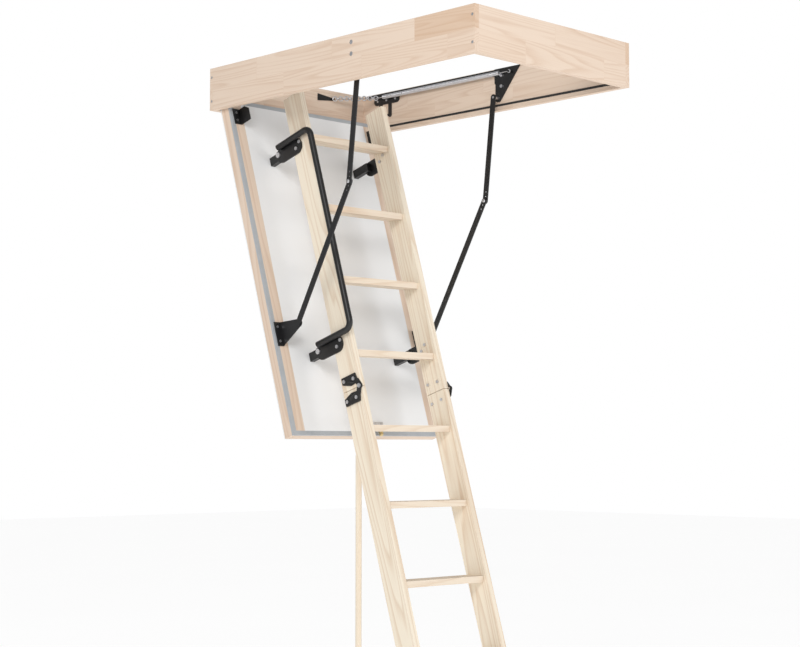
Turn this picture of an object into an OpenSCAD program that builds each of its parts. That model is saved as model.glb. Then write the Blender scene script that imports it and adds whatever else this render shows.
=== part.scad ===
// Three-section folding attic ladder on an insulated hatch, in its casing.
// Shown let down and unfolded. +Z is up, the climbing side faces -Y, treads run along X.
// The origin is the centre of the ceiling opening, level with the casing's lower rim.

/* [Casing] */
// Length of the casing along Y
box_l = 1200; // [1100:10:1400]
// Width of the casing along X
box_w = 700; // [640:10:800]
// Height of the casing boards
box_h = 140; // [120:5:180]
// Thickness of the casing boards
board_t = 18; // [15:1:22]

/* [Hatch] */
// Gap between the hatch and the long casing boards
side_gap = 4; // [3.5:0.5:5]
// Gap between the hatch and the casing end boards
end_gap = 4; // [4:0.5:6]
// Thickness of the insulated hatch
hatch_t = 46; // [36:2:60]
// Thickness of each hatch skin
skin_t = 4; // [3:0.5:6]
// Width of the pine rails round the hatch
rail_w = 50; // [40:2:60]
// Width of the grey edge profile on the hatch's attic face
profile_w = 14; // [8:1:18]
// Depth of the grey edge profile
profile_d = 8; // [5:1:10]
// Lean of the open hatch and ladder from upright
tilt = 17; // [12:0.5:22]
// Height of the hatch pivot above the lower rim
pivot_z = 9; // [8:0.5:10]
// Distance of the hatch pivot from the hinge end of the hatch
pivot_in = 14; // [13:0.5:20]

/* [Ladder] */
// Clear width between the stiles
ladder_w = 350; // [300:10:400]
// Stile thickness across the ladder
stile_t = 22; // [18:1:28]
// Stile depth, back to front
stile_d = 80; // [70:1:95]
// Distance from the room face of the hatch to the back of the stiles
stile_back = 165; // [150:1:180]
// Height from the ceiling down to the first tread
first_tread = 93; // [80:1:120]
// Rise from tread to tread
tread_rise = 237; // [220:1:250]
// Tread thickness
tread_t = 20; // [18:1:26]
// Depth of the housing for each tread in the stile
housing = 8; // [5:1:10]
// Setback of the tread's front edge from the front of the stiles
tread_back = 9; // [6:1:14]
// Height of the rubber foot caps
foot_h = 60; // [40:5:80]

/* [Section hinges] */
// Sheet thickness of the section hinges
hinge_t = 3; // [2.5:0.5:4]
// Distance of a section pivot from the face it folds on
pivot_proud = 2; // [1.5:0.5:4]
// Radius of the section hinge pins
hinge_pin_r = 4; // [3:0.5:5]
// Radius of the hinge eyes round the pins
eye_r = 9; // [8:0.5:10]
// Radius of the carriage bolts
bolt_r = 3; // [2.5:0.5:4]

/* [Handrail] */
// Radius of the handrail tube
rail_r = 10; // [9:0.5:13]
// Wall of the handrail tube
rail_wall = 1.5; // [1:0.5:2]
// Distance of the grip from the room face of the hatch
rail_front = 274; // [266:1:290]
// Radius of the handrail bends
bend_r = 26; // [24:1:32]
// Thickness of the ladder brackets
bracket_t = 6; // [4:1:8]

/* [Arms and springs] */
// Width of the arm bars
arm_w = 20; // [18:1:24]
// Thickness of the arm bars
arm_t = 4; // [3:0.5:5]
// Length of the upper arm between its pivots
upper_arm = 343; // [330:1:350]
// Radius of the arm pivots
arm_pin_r = 4; // [3:0.5:5]
// Outer radius of the tension springs
spring_r = 8; // [6:0.5:8]

/* [Latch and pole] */
// Length of the wooden operating pole
pole_l = 900; // [700:10:1100]
// Radius of the wooden operating pole
pole_r = 10; // [8:0.5:12]

/* [Hidden] */

// ---- shared clearances ----
wood_fit = 0.2;      // slack of a tread in its housing
hole_fit = 0.1;      // slack of a bolt or screw in its hole
pin_fit = 0.05;      // running fit of a pivot pin
layer_gap = 0.3;     // air between sheets that slide past each other
seam_gap = 1;        // half the joint between two ladder sections
drill = 1;           // how far a cut runs past the face it starts from

// ---- casing ----
in_x = box_w / 2 - board_t;          // inner faces of the long boards
in_y = box_l / 2 - board_t;          // inner faces of the end boards
screw_in = 30;                       // corner screws, up from the rim and down from the top
screw_head_r = 4.5;
screw_head_h = 3;
screw_r = 2.5;
screw_l = 55;
sink = 0.5;                          // screw heads sit this far below the wood
seal_z = 14;
seal_h = 7;
seal_t = 1.5;
seal_end = 60;                       // the seal stops short of the hinge plates

// ---- hatch, in its own frame: s runs down the hatch, n out of its room face ----
hatch_x = in_x - side_gap;
hatch_l = 2 * (in_y - end_gap);
pivot_y = in_y - end_gap - pivot_in;
slope_shift = (1 - sin(tilt)) / cos(tilt);
plane_y = pivot_y + pivot_z * slope_shift;     // where the room face meets the ceiling plane
pivot_s = -pivot_z * slope_shift;
hatch_top = pivot_s - pivot_in;
hatch_bottom = hatch_top + hatch_l;
face_n = hatch_t;

// ---- ladder ----
stile_in = ladder_w / 2;
stile_out = stile_in + stile_t;
stile_front = stile_back + stile_d;
section_1_top = 22;
room_h = first_tread + 11 * tread_rise;
tread_pitch = tread_rise / cos(tilt);
tread_n = stile_front - tread_back;
// The treads stop flush with the back of the stiles, so the folded sections lie flat
tread_d = (tread_n - stile_back - tread_t * sin(tilt) - wood_fit) / cos(tilt);
function tread_s(k) = (first_tread + (k - 1) * tread_rise + tread_n * sin(tilt)) / cos(tilt);
seam_12 = (tread_s(4) + tread_s(5)) / 2;
seam_23 = (tread_s(8) + tread_s(9)) / 2;
pivot_12_n = stile_front + pivot_proud;
pivot_23_n = stile_back - pivot_proud;

// ---- placing helpers ----
function side_sign(side) = side == "left" ? -1 : 1;
// A point [s, n] of the hatch frame as the Y and Z of its tilted coordinates
function sn(p) = [-p[1], -p[0]];

module on_hatch() {
  translate([0, plane_y, 0]) rotate([-tilt, 0, 0]) children();
}

// A block in the hatch frame given by its x, n and s ranges
module block(x, n, s) {
  translate([min(x[0], x[1]), -n[1], -s[1]])
    cube([abs(x[1] - x[0]), n[1] - n[0], s[1] - s[0]]);
}

// A flat sheet across X from x0 to x1, with its outline in the Y-Z plane
module sheet(x0, x1) {
  translate([min(x0, x1), 0, 0]) rotate([90, 0, 90]) linear_extrude(abs(x1 - x0)) children();
}

// A round bar along X from x0 to x1 at y, z
module bar_x(x0, x1, y, z, r) {
  translate([min(x0, x1), y, z]) rotate([0, 90, 0]) cylinder(h = abs(x1 - x0), r = r, $fn = 32);
}

// A round bar along X at a point of the hatch frame
module bar_sn(x0, x1, p, r) {
  bar_x(x0, x1, -p[1], -p[0], r);
}

// Outline of a flat bar with round ends between two points
module bar_outline(a, b, w) {
  l = norm(b - a);
  ang = atan2(b[1] - a[1], b[0] - a[0]);
  translate(a) rotate(ang) {
    translate([0, -w / 2]) square([l, w]);
    circle(r = w / 2, $fn = 32);
    translate([l, 0]) circle(r = w / 2, $fn = 32);
  }
}

// ================= casing =================
corner_z = [screw_in, box_h - screw_in];
bracket_bolt_z = [79, 115];
bracket_bolt_y = -87;
casing_bolt_r = 3.5;
casing_bolt_head_r = 7;
casing_bolt_head_h = 2.5;

module side_board(side) {
  d = side_sign(side);
  color("burlywood") difference() {
    translate([d < 0 ? -box_w / 2 : in_x, -box_l / 2, 0]) cube([board_t, box_l, box_h]);
    for (e = [-1, 1], z = corner_z) {
      y = e * (box_l / 2 - board_t / 2);
      bar_x(d * (in_x - drill), d * (box_w / 2 + drill), y, z, screw_r + hole_fit);
      bar_x(d * (box_w / 2 - sink - screw_head_h - hole_fit), d * (box_w / 2 + drill), y, z,
            screw_head_r + hole_fit);
    }
    for (z = bracket_bolt_z) {
      bar_x(d * (in_x - drill), d * (box_w / 2 + drill), bracket_bolt_y, z,
            casing_bolt_r + hole_fit);
      bar_x(d * (box_w / 2 - sink - casing_bolt_head_h - hole_fit), d * (box_w / 2 + drill),
            bracket_bolt_y, z, casing_bolt_head_r + hole_fit);
    }
  }
}

module end_board(e) {
  color("tan") difference() {
    translate([-in_x, e < 0 ? -box_l / 2 : in_y, 0]) cube([2 * in_x, board_t, box_h]);
    for (d = [-1, 1], z = corner_z)
      bar_x(d * (in_x + drill), d * (box_w / 2 - screw_l - sink - hole_fit),
            e * (box_l / 2 - board_t / 2), z, screw_r + hole_fit);
  }
}

module casing_side_left() { side_board("left"); }
module casing_side_right() { side_board("right"); }
module casing_end_hinge() { end_board(1); }
module casing_end_free() { end_board(-1); }

module corner_screws() {
  color("silver") for (d = [-1, 1], e = [-1, 1], z = corner_z) {
    y = e * (box_l / 2 - board_t / 2);
    tip = box_w / 2 - screw_l - sink;
    head = box_w / 2 - sink;
    bar_x(d * tip, d * head, y, z, screw_r);
    bar_x(d * (head - screw_head_h), d * head, y, z, screw_head_r);
  }
}

module casing_seal() {
  y1 = pivot_y - seal_end;
  color("black") {
    for (d = [-1, 1])
      translate([d < 0 ? -in_x : in_x - seal_t, -in_y + seal_t + layer_gap, seal_z])
        cube([seal_t, y1 + in_y - seal_t - layer_gap, seal_h]);
    translate([-in_x, -in_y, seal_z]) cube([2 * in_x, seal_t, seal_h]);
  }
}

// ================= hatch hinge =================
plate_t = 2.5;
plate_y = [412, 512];
plate_z = 112;
plate_w = 28;
leg_w = 16;
leg_y = [492, 446];
knee_z = 58;                         // where the legs turn towards the pivot
hatch_pin_r = 4;
hatch_pin_in = 26;
ear_r = 9;
plate_screw_r = 2.5;
plate_screw_y = [418, 462, 506];

module hinge_plate(side) {
  d = side_sign(side);
  color("dimgray") difference() {
    sheet(d * in_x, d * (in_x - plate_t)) {
      bar_outline([plate_y[0], plate_z], [plate_y[1], plate_z], plate_w);
      bar_outline([leg_y[0], plate_z], [leg_y[0], knee_z], leg_w);
      bar_outline([leg_y[0], knee_z], [pivot_y, pivot_z], leg_w);
      bar_outline([leg_y[1], plate_z], [leg_y[1], knee_z], leg_w);
      bar_outline([leg_y[1], knee_z], [leg_y[0], knee_z], leg_w / 2);
      translate([pivot_y, pivot_z]) circle(r = ear_r, $fn = 48);
    }
    bar_x(d * (in_x + drill), d * (in_x - plate_t - drill), pivot_y, pivot_z,
          hatch_pin_r + pin_fit);
    for (y = plate_screw_y)
      bar_x(d * (in_x + drill), d * (in_x - plate_t - drill), y, plate_z,
            plate_screw_r + hole_fit);
  }
}

module hinge_plate_left() { hinge_plate("left"); }
module hinge_plate_right() { hinge_plate("right"); }

module hatch_hinge_pins() {
  color("silver") for (d = [-1, 1])
    bar_x(d * in_x, d * (in_x - hatch_pin_in), pivot_y, pivot_z, hatch_pin_r);
}

// ================= arms =================
// Layers across X, counted inwards from the inner face of the long board
bracket_sheet = 3;
upper_x = [in_x - 28, in_x - 28 + arm_t];
lower_x = [upper_x[0] - layer_gap - arm_t, upper_x[0] - layer_gap];
foot_x = [lower_x[0] - layer_gap - bracket_sheet, lower_x[0] - layer_gap];
rivet_h = 2;                         // rivet heads at the arm joints
rivet_over = 2;
arm_pivot = [-70, 41];
elbow = arm_pivot + upper_arm * [sin(6.4), -cos(6.4)];
arm_foot_s = 796;
arm_foot_n = 138;
// The same foot pivot in Y and Z
arm_foot = [plane_y - arm_foot_s * sin(tilt) - arm_foot_n * cos(tilt),
            -arm_foot_s * cos(tilt) + arm_foot_n * sin(tilt)];
spring_hook_y = -128;
spring_z = 122;
spring_x = in_x - 12.5;

module arm_bracket(side) {
  d = side_sign(side);
  color("black") difference() {
    sheet(d * in_x, d * (in_x - bracket_sheet)) {
      polygon([[-54, box_h], [-54, 94], [-58, 88], [-58, 34], [-63, 29], [-76, 28],
               [-84, 36], [-168, box_h]]);
    }
    bar_x(d * (in_x + drill), d * (in_x - bracket_sheet - drill), arm_pivot[0], arm_pivot[1],
          arm_pin_r + pin_fit);
    bar_x(d * (in_x + drill), d * (in_x - bracket_sheet - drill), spring_hook_y, spring_z,
          stud_r + hole_fit);
    for (z = bracket_bolt_z)
      bar_x(d * (in_x + drill), d * (in_x - bracket_sheet - drill), bracket_bolt_y, z,
            casing_bolt_r + hole_fit);
  }
}

module arm_bracket_left() { arm_bracket("left"); }
module arm_bracket_right() { arm_bracket("right"); }

module casing_bolts() {
  nut_h = 5;
  nut_r = 6;
  screw_cap = 2;
  cap_over = 1.5;
  color("silver") for (d = [-1, 1]) {
    for (z = bracket_bolt_z) {
      bar_x(d * (box_w / 2 - sink), d * (in_x - bracket_sheet - nut_h), bracket_bolt_y, z,
            casing_bolt_r);
      bar_x(d * (box_w / 2 - sink), d * (box_w / 2 - sink - casing_bolt_head_h),
            bracket_bolt_y, z, casing_bolt_head_r);
      translate([d * (in_x - bracket_sheet), bracket_bolt_y, z]) rotate([0, -90 * d, 0])
        cylinder(h = nut_h, r = nut_r, $fn = 6);
    }
    for (y = plate_screw_y)
      bar_x(d * (in_x - plate_t), d * (in_x - plate_t - screw_cap), y, plate_z,
            plate_screw_r + cap_over);
  }
}

module arm_pivot_pins() {
  color("silver") for (d = [-1, 1]) {
    bar_x(d * in_x, d * (upper_x[0] - layer_gap), arm_pivot[0], arm_pivot[1], arm_pin_r);
    bar_x(d * (in_x - bracket_sheet), d * (upper_x[1] + layer_gap), arm_pivot[0], arm_pivot[1],
          arm_pin_r + rivet_over);
  }
}

// Flat bar above the spring that stiffens the long board
module stiffeners() {
  y = [-53, in_y - 20];
  top_gap = 2;
  bar_h = 10;
  color("black") for (d = [-1, 1])
    translate([d < 0 ? -in_x : in_x - bracket_sheet, y[0], box_h - top_gap - bar_h])
      cube([bracket_sheet, y[1] - y[0], bar_h]);
}

module arm_bar(a, b, x) {
  hole_step = 15;
  hole_r = 2.8;
  u = (b - a) / norm(b - a);
  color("black") difference() {
    sheet(x[0], x[1]) bar_outline(a, b, arm_w);
    for (k = [1, 2]) {
      q = b - k * hole_step * u;
      bar_x(x[0] - drill, x[1] + drill, q[0], q[1], hole_r);
    }
    children();
  }
}

module upper_arm(side) {
  d = side_sign(side);
  x = d < 0 ? [-upper_x[1], -upper_x[0]] : upper_x;
  arm_bar(arm_pivot, elbow, x)
    bar_x(x[0] - drill, x[1] + drill, arm_pivot[0], arm_pivot[1], arm_pin_r + pin_fit);
  color("silver") bar_x(d * upper_x[1], d * (upper_x[1] + rivet_h), elbow[0], elbow[1],
                        arm_pin_r + rivet_over);
}

module lower_arm(side) {
  d = side_sign(side);
  x = d < 0 ? [-lower_x[1], -lower_x[0]] : lower_x;
  arm_bar(arm_foot, elbow, x)
    bar_x(x[0] - drill, x[1] + drill, arm_foot[0], arm_foot[1], arm_pin_r + pin_fit);
  color("silver") bar_x(d * lower_x[0], d * (lower_x[0] - rivet_h), elbow[0], elbow[1],
                        arm_pin_r + rivet_over);
}

module upper_arm_left() { upper_arm("left"); }
module upper_arm_right() { upper_arm("right"); }
module lower_arm_left() { lower_arm("left"); }
module lower_arm_right() { lower_arm("right"); }

// ================= springs =================
spring_end = 470;                 // where the coil meets the chain's eye
anchor_x = [110, 182];
anchor_z = 110;
anchor_t = 3;
link_r = 8;
link_wire = 2;
stud_r = 3;
stud_in = 20;

module spring(side) {
  d = side_sign(side);
  hook_r = 6;
  wire = 1.6;
  coil = [bracket_bolt_y + 9, spring_end];
  color("lightgray") {
    translate([d * spring_x, coil[0], spring_z]) rotate([-90, 0, 0])
      cylinder(h = coil[1] - coil[0], r = spring_r, $fn = 48);
    bar_y(d * spring_x, [spring_hook_y + stud_r + wire + layer_gap, coil[0]], spring_z, wire);
    bar_y(d * spring_x, [coil[1], coil[1] + 20], spring_z, wire);
    // The hook is an eye that runs round the stud
    translate([d * spring_x, spring_hook_y, spring_z]) rotate([0, 90, 0])
      rotate_extrude($fn = 48) translate([stud_r + layer_gap + wire, 0]) circle(r = wire, $fn = 20);
    translate([d * spring_x, coil[1] + 20 + hook_r, spring_z])
      rotate_extrude($fn = 48) translate([hook_r, 0]) circle(r = wire, $fn = 20);
  }
}

module bar_y(x, y, z, r) {
  translate([x, y[0], z]) rotate([-90, 0, 0]) cylinder(h = y[1] - y[0], r = r, $fn = 24);
}

module spring_left() { spring("left"); }
module spring_right() { spring("right"); }

// Anchor plate on the hinge-end board, its corner roller, and the stud the spring hooks on
module spring_anchors() {
  color("black") for (d = [-1, 1]) {
    translate([0, in_y, 0]) rotate([90, 0, 0]) linear_extrude(anchor_t)
      polygon([[d * anchor_x[0], anchor_z - 12], [d * anchor_x[0], anchor_z + 12],
               [d * anchor_x[1], anchor_z + 4], [d * anchor_x[1], anchor_z - 4]]);
    translate([d * (anchor_x[1] - 4), in_y - anchor_t, anchor_z]) rotate([90, 0, 0])
      cylinder(h = link_r + link_wire, r = 2.5, $fn = 24);
    bar_x(d * in_x, d * (in_x - stud_in), spring_hook_y, spring_z, stud_r);
  }
}

// Round links, each a quarter turn from the next; the end links hook over the pin and the eye
module spring_chains() {
  pin_r = 2.5;
  pin = [anchor_x[1] - 4, in_y - anchor_t - link_r - 1, anchor_z];
  eye = [spring_x, spring_end + 26, spring_z];
  run = norm(eye - pin);
  u = (eye - pin) / run;
  n = 2 * round(run / (4 * (link_r - link_wire)));
  // The links are sized so that an even number of steps fills the run
  r = (run + link_wire + pin_r + layer_gap + n * (2 * link_wire + layer_gap)) / (2 * n + 2);
  a = pin + u * (r - link_wire - pin_r - layer_gap);
  b = eye - u * r;
  turn = atan2(u[1], u[0]);
  color("silver") for (d = [-1, 1], k = [0 : n]) {
    p = a + (b - a) * k / n;
    translate([d * p[0], p[1], p[2]])
      rotate([0, 0, d > 0 ? turn : 180 - turn])
      rotate([k % 2 == 0 ? 90 : 0, 0, 0])
      rotate_extrude($fn = 32) translate([r, 0]) circle(r = link_wire, $fn = 16);
  }
}

// ================= latch keeper =================
module latch_keeper() {
  color("silver") {
    translate([latch_x - 20, -in_y, 62]) cube([40, 3, 40]);
    translate([latch_x - 12, -in_y + 3, 66]) cube([24, 8, 3]);
  }
}

// ================= hatch =================
module hatch_side_rail(side) {
  d = side_sign(side);
  color("wheat") on_hatch() difference() {
    block([d * (hatch_x - rail_w), d * hatch_x], [skin_t, face_n], [hatch_top, hatch_bottom]);
    block([d * (hatch_x - profile_w), d * (hatch_x + drill)], [face_n - profile_d, face_n + drill],
          [hatch_top - drill, hatch_bottom + drill]);
    for (e = [[hatch_top - drill, hatch_top + profile_w],
              [hatch_bottom - profile_w, hatch_bottom + drill]])
      block([d * (hatch_x - rail_w - drill), d * (hatch_x + drill)],
            [face_n - profile_d, face_n + drill], e);
    bar_sn(d * (hatch_x + drill), d * (in_x - hatch_pin_in - 1), [pivot_s, pivot_z],
           hatch_pin_r + pin_fit);
  }
}

// The end rails stop under the attic skin, and the edge profile is let into their outer corner
module hatch_end_rail(s) {
  x = hatch_x - rail_w;
  color("wheat") on_hatch() difference() {
    block([-x, x], [skin_t, face_n - skin_t], s);
    for (e = [[hatch_top - drill, hatch_top + profile_w],
              [hatch_bottom - profile_w, hatch_bottom + drill]])
      block([-x - drill, x + drill], [face_n - profile_d, face_n + drill], e);
  }
}

module hatch_rail_left() { hatch_side_rail("left"); }
module hatch_rail_right() { hatch_side_rail("right"); }
module hatch_rail_top() { hatch_end_rail([hatch_top, hatch_top + rail_w]); }
module hatch_rail_bottom() { hatch_end_rail([hatch_bottom - rail_w, hatch_bottom]); }

module hatch_core() {
  x = hatch_x - rail_w;
  color("gainsboro") on_hatch()
    block([-x, x], [skin_t, face_n - skin_t], [hatch_top + rail_w, hatch_bottom - rail_w]);
}

module hatch_room_skin() {
  color("white") on_hatch()
    difference() {
      block([-hatch_x, hatch_x], [0, skin_t], [hatch_top, hatch_bottom]);
      for (d = [-1, 1])
        bar_sn(d * (hatch_x + drill), d * (in_x - hatch_pin_in - 1), [pivot_s, pivot_z],
               hatch_pin_r + pin_fit);
    }
}

module hatch_attic_skin() {
  x = hatch_x - rail_w;
  color("white") on_hatch()
    block([-x, x], [face_n - skin_t, face_n], [hatch_top + profile_w, hatch_bottom - profile_w]);
}

module hatch_profile() {
  n = [face_n - profile_d, face_n];
  color("slategray") on_hatch() {
    for (d = [-1, 1])
      block([d * hatch_x, d * (hatch_x - profile_w)], n, [hatch_top, hatch_bottom]);
    for (s = [hatch_top, hatch_bottom - profile_w])
      block([-(hatch_x - profile_w), hatch_x - profile_w], n, [s, s + profile_w]);
  }
}

// Angle brackets that stiffen the hatch beside its pivots
hinge_foot_s = [14, 68];
hinge_foot_x = [hatch_x - 40, hatch_x - 10];
foot_t = 3;
hinge_foot_n = 94;
hinge_screw_s = [28, 54];
arm_screw_s = [arm_foot_s - 18, arm_foot_s + 30];

module hatch_hinge_brackets() {
  color("black") on_hatch() for (d = [-1, 1]) {
    difference() {
      union() {
        block([d * hinge_foot_x[0], d * hinge_foot_x[1]], [face_n, face_n + foot_t], hinge_foot_s);
        sheet(d * hinge_foot_x[0], d * (hinge_foot_x[0] + foot_t))
          polygon([sn([hinge_foot_s[0], face_n]), sn([hinge_foot_s[0], hinge_foot_n - 18]),
                   sn([hinge_foot_s[0] + 14, hinge_foot_n]), sn([hinge_foot_s[1], hinge_foot_n]),
                   sn([hinge_foot_s[1], face_n])]);
      }
      for (s = hinge_screw_s)
        translate([d * (hinge_foot_x[0] + 18), -face_n, -s]) rotate([90, 0, 0])
          cylinder(h = foot_t + drill, r = screw_r + hole_fit, $fn = 24);
    }
  }
}

// Feet that carry the lower ends of the arms
arm_foot_span = [arm_foot_s - 34, arm_foot_s + 46];
module hatch_arm_brackets() {
  color("black") on_hatch() for (d = [-1, 1]) {
    difference() {
      union() {
        block([d * foot_x[0], d * (foot_x[0] + 24)], [face_n, face_n + foot_t], arm_foot_span);
        sheet(d * foot_x[0], d * foot_x[1]) {
          polygon([sn([arm_foot_span[0], face_n]), sn([arm_foot_s - 13, arm_foot_n]),
                   sn([arm_foot_s + 13, arm_foot_n]), sn([arm_foot_span[1], face_n])]);
          translate(sn([arm_foot_s, arm_foot_n])) circle(r = 13, $fn = 48);
        }
      }
      for (s = arm_screw_s)
        translate([d * (foot_x[0] + 14), -face_n, -s]) rotate([90, 0, 0])
          cylinder(h = foot_t + drill, r = screw_r + hole_fit, $fn = 24);
    }
    bar_sn(d * foot_x[1], d * (lower_x[1]), [arm_foot_s, arm_foot_n], arm_pin_r);
    bar_sn(d * foot_x[0], d * (foot_x[0] - rivet_h), [arm_foot_s, arm_foot_n],
           arm_pin_r + rivet_over);
  }
}

// Pan-head screws that hold the brackets and the latch plate to the hatch
module pan_screw(x, s, face) {
  translate([x, -face, -s]) rotate([90, 0, 0]) cylinder(h = 2, r = 4, $fn = 24);
}

module hatch_screws() {
  color("silver") on_hatch() for (d = [-1, 1]) {
    for (s = hinge_screw_s) pan_screw(d * (hinge_foot_x[0] + 18), s, face_n + foot_t);
    for (s = arm_screw_s)
      pan_screw(d * (foot_x[0] + 14), s, face_n + foot_t);
    for (s = [-1, 1])
      pan_screw(latch_x + d * 20, latch_s + s * 9, face_n + foot_t);
  }
}

// ================= latch =================
latch_x = 35;
latch_s = hatch_bottom - 30;
latch_pin_n = face_n + foot_t + 12;
latch_pin_s = latch_s + 6;
latch_pin_r = 2.5;

module latch_plate() {
  color("lightgray") on_hatch() {
    block([latch_x - 30, latch_x + 30], [face_n, face_n + foot_t], [latch_s - 15, latch_s + 15]);
    for (d = [-1, 1]) difference() {
      block([latch_x + d * 7, latch_x + d * 9], [face_n + foot_t, latch_pin_n + 5],
            [latch_pin_s - 6, latch_pin_s + 6]);
      bar_sn(latch_x + d * 6, latch_x + d * 10, [latch_pin_s, latch_pin_n], latch_pin_r + pin_fit);
    }
  }
}

module latch_hook() {
  color("goldenrod") on_hatch() {
    bar_sn(latch_x - 9, latch_x + 9, [latch_pin_s, latch_pin_n], latch_pin_r);
    sheet(latch_x - 6, latch_x + 6) {
      translate(sn([latch_pin_s, latch_pin_n])) circle(r = 5, $fn = 32);
      polygon([sn([latch_pin_s - 3, latch_pin_n + 4]), sn([latch_pin_s + 26, latch_pin_n + 4]),
               sn([latch_pin_s + 30, latch_pin_n - 3]), sn([latch_pin_s, latch_pin_n - 5])]);
    }
  }
}

// ================= operating pole =================
// The pole hangs by its hook from an eye under the hatch's lower edge
pole_x = -32;
eye_s = hatch_bottom + 12;
eye_n = 20;
eye_bar_r = 2.5;
pole_top = [plane_y - eye_s * sin(tilt) - eye_n * cos(tilt),
            -eye_s * cos(tilt) + eye_n * sin(tilt)];
pole_neck = 70;                      // straight wire under the hook's ring
pole_in = 30;                        // depth of the wire in the pole
hook_wire = 3;
hook_ring = eye_bar_r + pin_fit + hook_wire;

// The eye: a small plate on the end of the hatch, two ears and a cross bar
module pole_eye() {
  ear = [9, 11];
  color("silver") on_hatch() {
    block([pole_x - 16, pole_x + 16], [eye_n - 8, eye_n + 8], [hatch_bottom, hatch_bottom + 2]);
    for (d = [-1, 1])
      sheet(pole_x + d * ear[0], pole_x + d * ear[1])
        bar_outline(sn([hatch_bottom + 4, eye_n]), sn([eye_s, eye_n]), 8);
    bar_sn(pole_x - ear[1], pole_x + ear[1], [eye_s, eye_n], eye_bar_r);
  }
}

module pole_hook() {
  color("silver") {
    translate([pole_x, pole_top[0], pole_top[1]]) rotate([0, 90, 0])
      rotate_extrude($fn = 48) translate([hook_ring, 0]) circle(r = hook_wire, $fn = 20);
    translate([pole_x, pole_top[0], pole_top[1] - hook_ring - pole_neck])
      cylinder(h = pole_neck, r = hook_wire, $fn = 24);
  }
}

module pole() {
  top = pole_top[1] - hook_ring - pole_neck + pole_in;
  color("wheat") difference() {
    translate([pole_x, pole_top[0], top - pole_l]) cylinder(h = pole_l, r = pole_r, $fn = 32);
    translate([pole_x, pole_top[0], top - pole_in - hole_fit])
      cylinder(h = pole_in + drill, r = hook_wire + hole_fit, $fn = 24);
  }
}

// ================= ladder =================
hinge_bolts_up = [[-33, 66], [-30, 22]];
hinge_bolts_down = [[33, 66], [31, 22]];

// Bolts of a hinge pair: front pairs fold on the front face, back pairs on the back face
function bolt_at(seam, p, front) =
  [seam + p[0], front ? pivot_12_n - p[1] : pivot_23_n + p[1]];

module stile_holes(d, points, r) {
  for (p = points)
    bar_sn(d * (stile_in - drill), d * (stile_out + drill), p, r + hole_fit);
}

bolts_1 = [for (p = hinge_bolts_up) bolt_at(seam_12, p, true)];
bolts_2_top = [for (p = hinge_bolts_down) bolt_at(seam_12, p, true)];
bolts_2_bottom = [for (p = hinge_bolts_up) bolt_at(seam_23, p, false)];
bolts_3 = [for (p = hinge_bolts_down) bolt_at(seam_23, p, false)];
bracket_s = [196, 880];
bracket_screw_at = [[-8, 205], [8, 185]];
bracket_bolt_at = [-6, 98];
bracket_bolt_r = 5;
bracket_screws = [for (s = bracket_s, p = bracket_screw_at) [s + p[0], p[1]]];
bracket_bolts = [for (s = bracket_s) [s + bracket_bolt_at[0], bracket_bolt_at[1]]];
spacer_w = 18;
spacer_h = 28;
spacer_end_n = 118;
spacer_floor = 6;                    // left under the bolt in a spacer

module tread_shape(k, grow) {
  z = -(first_tread + (k - 1) * tread_rise);
  y = plane_y + z * tan(tilt) - tread_n / cos(tilt);
  x = stile_in + housing - (grow > 0 ? 0 : wood_fit);
  translate([-x, y - grow, z - tread_t - grow])
    cube([2 * x, tread_d + 2 * grow, tread_t + 2 * grow]);
}

module stile(side, s, treads) {
  d = side_sign(side);
  difference() {
    on_hatch() block([d * stile_in, d * stile_out], [stile_back, stile_front], s);
    for (k = treads) tread_shape(k, wood_fit);
    on_hatch() children();
  }
}

module treads(list) {
  color("burlywood") for (k = list) tread_shape(k, 0);
}

module section_1_stile(side) {
  d = side_sign(side);
  color("bisque") stile(side, [section_1_top, seam_12 - seam_gap], [1 : 4]) {
    stile_holes(d, bolts_1, bolt_r);
    stile_holes(d, bracket_screws, bolt_r);
  }
}

module section_2_stile(side) {
  d = side_sign(side);
  color("bisque") stile(side, [seam_12 + seam_gap, seam_23 - seam_gap], [5 : 8])
    stile_holes(d, concat(bolts_2_top, bolts_2_bottom), bolt_r);
}

// The lowest stiles are cut level for the floor, and the foot caps slip over them
foot_wall = 3;
module section_3_stile(side) {
  d = side_sign(side);
  long = room_h / cos(tilt) + 200;
  color("bisque") difference() {
    stile(side, [seam_23 + seam_gap, long], [9 : 11]) stile_holes(d, bolts_3, bolt_r);
    translate([-box_w, -4 * box_l, -room_h - 2 * box_l])
      cube([2 * box_w, 8 * box_l, 2 * box_l + foot_wall]);
  }
}

module section_1_stile_left() { section_1_stile("left"); }
module section_1_stile_right() { section_1_stile("right"); }
module section_2_stile_left() { section_2_stile("left"); }
module section_2_stile_right() { section_2_stile("right"); }
module section_3_stile_left() { section_3_stile("left"); }
module section_3_stile_right() { section_3_stile("right"); }
module section_1_treads() { treads([1 : 4]); }
module section_2_treads() { treads([5 : 8]); }
module section_3_treads() { treads([9 : 11]); }

// Foot caps: a level pad with walls that follow the sloping stile
module feet() {
  long = room_h / cos(tilt) + 200;
  color("black") for (d = [-1, 1]) difference() {
    intersection() {
      on_hatch() block([d * (stile_in - foot_wall), d * (stile_out + foot_wall)],
                       [stile_back - foot_wall, stile_front + foot_wall], [seam_23 + 300, long]);
      translate([-box_w, -4 * box_l, -room_h]) cube([2 * box_w, 8 * box_l, foot_h]);
    }
    difference() {
      on_hatch() block([d * (stile_in - wood_fit), d * (stile_out + wood_fit)],
                       [stile_back - wood_fit, stile_front + wood_fit], [seam_23 + 200, long + 10]);
      translate([-box_w, -4 * box_l, -room_h - 2 * box_l])
        cube([2 * box_w, 8 * box_l, 2 * box_l + foot_wall]);
    }
  }
}

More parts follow.
